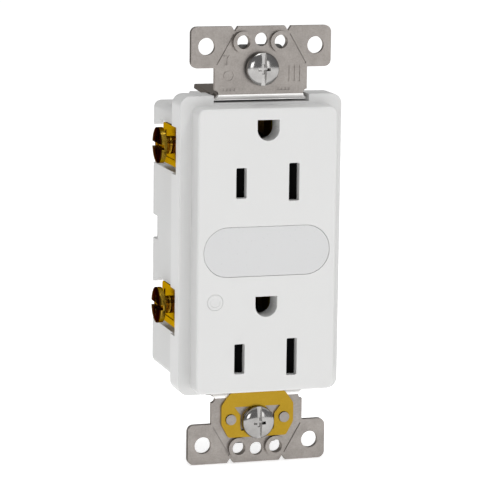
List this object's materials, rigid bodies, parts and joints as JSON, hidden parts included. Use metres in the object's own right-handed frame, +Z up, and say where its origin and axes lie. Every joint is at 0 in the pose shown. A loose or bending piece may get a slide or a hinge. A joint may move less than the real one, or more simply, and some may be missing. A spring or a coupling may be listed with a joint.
{
  "type": "duplex receptacle",
  "caption": "White rectangular duplex wall receptacle with shuttered slots, a night-light lens between the outlets, side terminals and a steel mounting strap.",
  "frame": {"origin": "middle of the device, on the back face of the strap's ears, half way between the two box screws", "axes": "+X right and +Z up seen from the room, +Y into the wall box"},
  "size_m": [0.0436, 0.0325, 0.103],
  "materials": {
    "cover_white": "moulded white, softly glossy",
    "body_white": "moulded white, satin",
    "lens_milk": "milky translucent",
    "window_milk": "milky",
    "zinc_steel": "zinc plated",
    "bright_screw": "bright zinc",
    "brass_sheet": "rolled sheet",
    "brass_screw": "polished",
    "nickel_brass": "nickel plated",
    "green_screw": "green dyed zinc",
    "shutter_dark": "dark moulded",
    "frame_grey": "moulded",
    "tray_white": "reflecting white",
    "board_green": "solder mask",
    "led_yellow": "phosphor",
    "part_black": "moulded",
    "resistor_blue": "lacquered",
    "spring_steel": "drawn wire",
    "retainer_grey": "fibre"
  },
  "bodies": {
    "base": {"face_cover": "cover_white", "back_body": "body_white", "mounting_strap": "zinc_steel", "grounding_clip": "brass_sheet", "hot_contact_strip": "brass_sheet", "neutral_contact_strip": "brass_sheet", "upper_earth_contact": "brass_sheet", "lower_earth_contact": "brass_sheet", "contact_rivets": "bright_screw", "night_light_lens": "lens_milk", "sensor_window": "window_milk", "light_tray": "tray_white", "circuit_board": "board_green", "leds": "led_yellow", "photocell": "part_black", "resistors": "resistor_blue", "rectifier": "part_black", "capacitor": "part_black", "board_leads": "bright_screw", "upper_shutter_frame": "frame_grey", "lower_shutter_frame": "frame_grey", "upper_shutter_spring": "spring_steel", "lower_shutter_spring": "spring_steel", "body_screws": "bright_screw"},
    "hot_upper_clamp": {"hot_upper_clamp_plate": "brass_screw"},
    "hot_upper_terminal_screw": {"hot_upper_screw": "brass_screw"},
    "hot_lower_clamp": {"hot_lower_clamp_plate": "brass_screw"},
    "hot_lower_terminal_screw": {"hot_lower_screw": "brass_screw"},
    "neutral_upper_clamp": {"neutral_upper_clamp_plate": "nickel_brass"},
    "neutral_upper_terminal_screw": {"neutral_upper_screw": "nickel_brass"},
    "neutral_lower_clamp": {"neutral_lower_clamp_plate": "nickel_brass"},
    "neutral_lower_terminal_screw": {"neutral_lower_screw": "nickel_brass"},
    "earth_screw": {"ground_screw": "green_screw"},
    "top_retainer": {"top_screw_retainer": "retainer_grey"},
    "top_screw": {"top_box_screw": "bright_screw"},
    "bottom_retainer": {"bottom_screw_retainer": "retainer_grey"},
    "bottom_screw": {"bottom_box_screw": "bright_screw"},
    "upper_shutter_slide": {"upper_shutter": "shutter_dark"},
    "lower_shutter_slide": {"lower_shutter": "shutter_dark"}
  },
  "joints": [
    {"name": "hot_upper_clamp_slide", "type": "slide", "parent": "base", "child": "hot_upper_clamp", "axis": [1, 0, 0], "range_m": [0, 0.002]},
    {"name": "hot_upper_screw_turn", "type": "hinge", "parent": "hot_upper_clamp", "child": "hot_upper_terminal_screw", "pos_m": [-0.0193, 0.0107, 0.0229], "axis": [-1, 0, 0], "range_deg": [-907.4, 0]},
    {"name": "hot_lower_clamp_slide", "type": "slide", "parent": "base", "child": "hot_lower_clamp", "axis": [1, 0, 0], "range_m": [0, 0.002]},
    {"name": "hot_lower_screw_turn", "type": "hinge", "parent": "hot_lower_clamp", "child": "hot_lower_terminal_screw", "pos_m": [-0.0193, 0.0107, -0.0151], "axis": [-1, 0, 0], "range_deg": [-907.4, 0]},
    {"name": "neutral_upper_clamp_slide", "type": "slide", "parent": "base", "child": "neutral_upper_clamp", "axis": [-1, 0, 0], "range_m": [0, 0.002]},
    {"name": "neutral_upper_screw_turn", "type": "hinge", "parent": "neutral_upper_clamp", "child": "neutral_upper_terminal_screw", "pos_m": [0.0193, 0.0107, 0.0229], "axis": [1, 0, 0], "range_deg": [-907.4, 0]},
    {"name": "neutral_lower_clamp_slide", "type": "slide", "parent": "base", "child": "neutral_lower_clamp", "axis": [-1, 0, 0], "range_m": [0, 0.002]},
    {"name": "neutral_lower_screw_turn", "type": "hinge", "parent": "neutral_lower_clamp", "child": "neutral_lower_terminal_screw", "pos_m": [0.0193, 0.0107, -0.0151], "axis": [1, 0, 0], "range_deg": [-907.4, 0]},
    {"name": "ground_screw_turn", "type": "hinge", "parent": "base", "child": "earth_screw", "pos_m": [0.0178, 0.011, -0.027], "axis": [1, 0, 0], "continuous": true},
    {"name": "top_screw_float", "type": "slide", "parent": "base", "child": "top_retainer", "axis": [0, 1, 0], "range_m": [0, 0.0009]},
    {"name": "top_screw_turn", "type": "hinge", "parent": "top_retainer", "child": "top_screw", "pos_m": [0, 0, 0.04167], "axis": [0, -1, 0], "continuous": true},
    {"name": "bottom_screw_float", "type": "slide", "parent": "base", "child": "bottom_retainer", "axis": [0, 1, 0], "range_m": [0, 0.00035]},
    {"name": "bottom_screw_turn", "type": "hinge", "parent": "bottom_retainer", "child": "bottom_screw", "pos_m": [0, 0, -0.04167], "axis": [0, -1, 0], "continuous": true},
    {"name": "upper_shutter_slide", "type": "slide", "parent": "base", "child": "upper_shutter_slide", "axis": [1, 0, 0], "range_m": [0, 0.003], "stiffness_N_per_m": 180, "springref_m": -0.001, "deforming": ["upper_shutter_spring"]},
    {"name": "lower_shutter_slide", "type": "slide", "parent": "base", "child": "lower_shutter_slide", "axis": [1, 0, 0], "range_m": [0, 0.003], "stiffness_N_per_m": 180, "springref_m": -0.001, "deforming": ["lower_shutter_spring"]}
  ],
  "couplings": [
    {"joint": "hot_upper_screw_turn", "follows": "hot_upper_clamp_slide", "rad_per_m": -7913.3},
    {"joint": "hot_lower_screw_turn", "follows": "hot_lower_clamp_slide", "rad_per_m": -7913.3},
    {"joint": "neutral_upper_screw_turn", "follows": "neutral_upper_clamp_slide", "rad_per_m": -7913.3},
    {"joint": "neutral_lower_screw_turn", "follows": "neutral_lower_clamp_slide", "rad_per_m": -7913.3}
  ]
}
